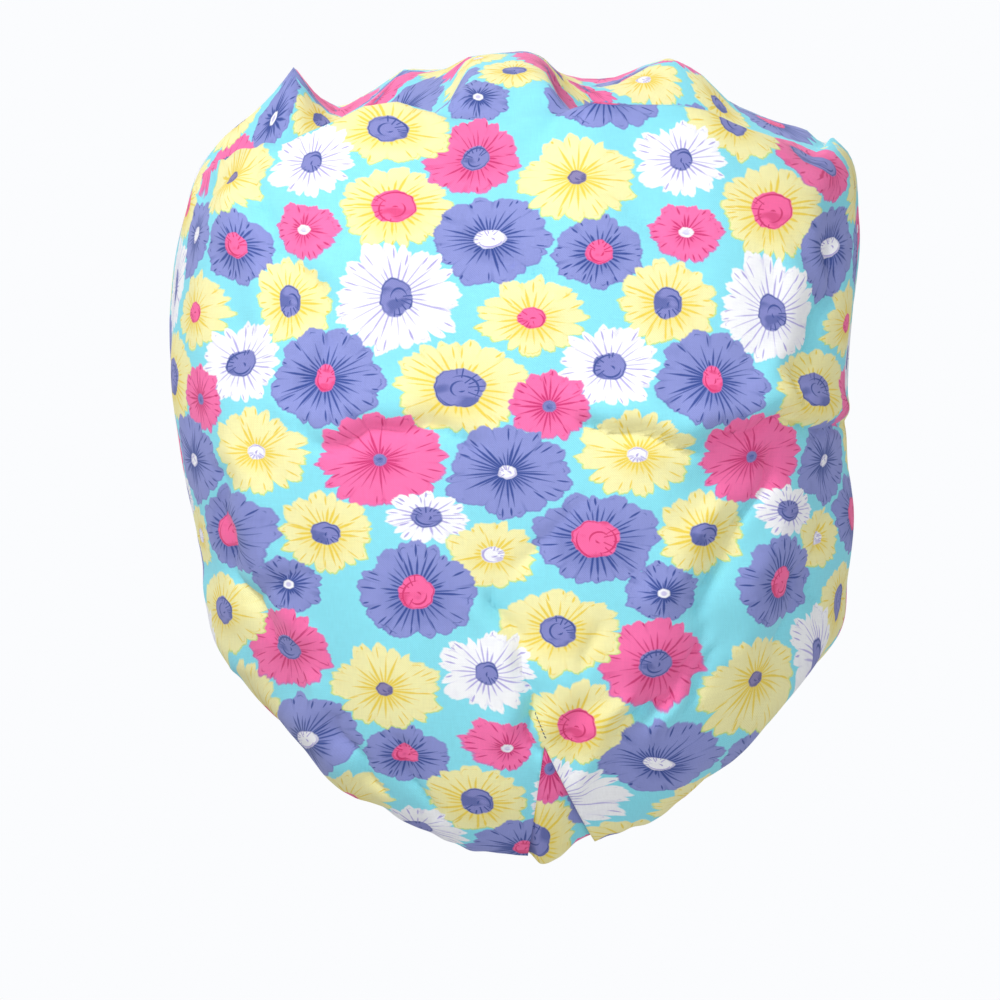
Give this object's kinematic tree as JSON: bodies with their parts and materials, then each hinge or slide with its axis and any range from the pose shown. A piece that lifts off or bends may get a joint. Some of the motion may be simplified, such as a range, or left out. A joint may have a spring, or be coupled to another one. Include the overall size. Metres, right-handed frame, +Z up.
{
  "type": "surgical scrub cap",
  "caption": "Bouffant scrub cap of flower-printed cotton, in its worn shape: full gathered bag, plain forehead band, gusset at the nape, hollow for a head.",
  "frame": {"origin": "middle of the head opening, level with the lower edge of the forehead band at the front", "axes": "+Z up along the wearer's head, -Y the way the wearer faces, +Y the full back of the bag, +X the wearer's left"},
  "size_m": [0.244, 0.2525, 0.2777],
  "materials": {
    "printed_cotton": "printed plain-weave cotton, matt",
    "band_cotton": "printed plain-weave cotton, matt",
    "gusset_cotton": "printed plain-weave cotton, matt"
  },
  "bodies": {
    "root": {"crown_bag": "printed_cotton", "forehead_band": "band_cotton", "nape_gusset": "gusset_cotton"}
  },
  "joints": []
}
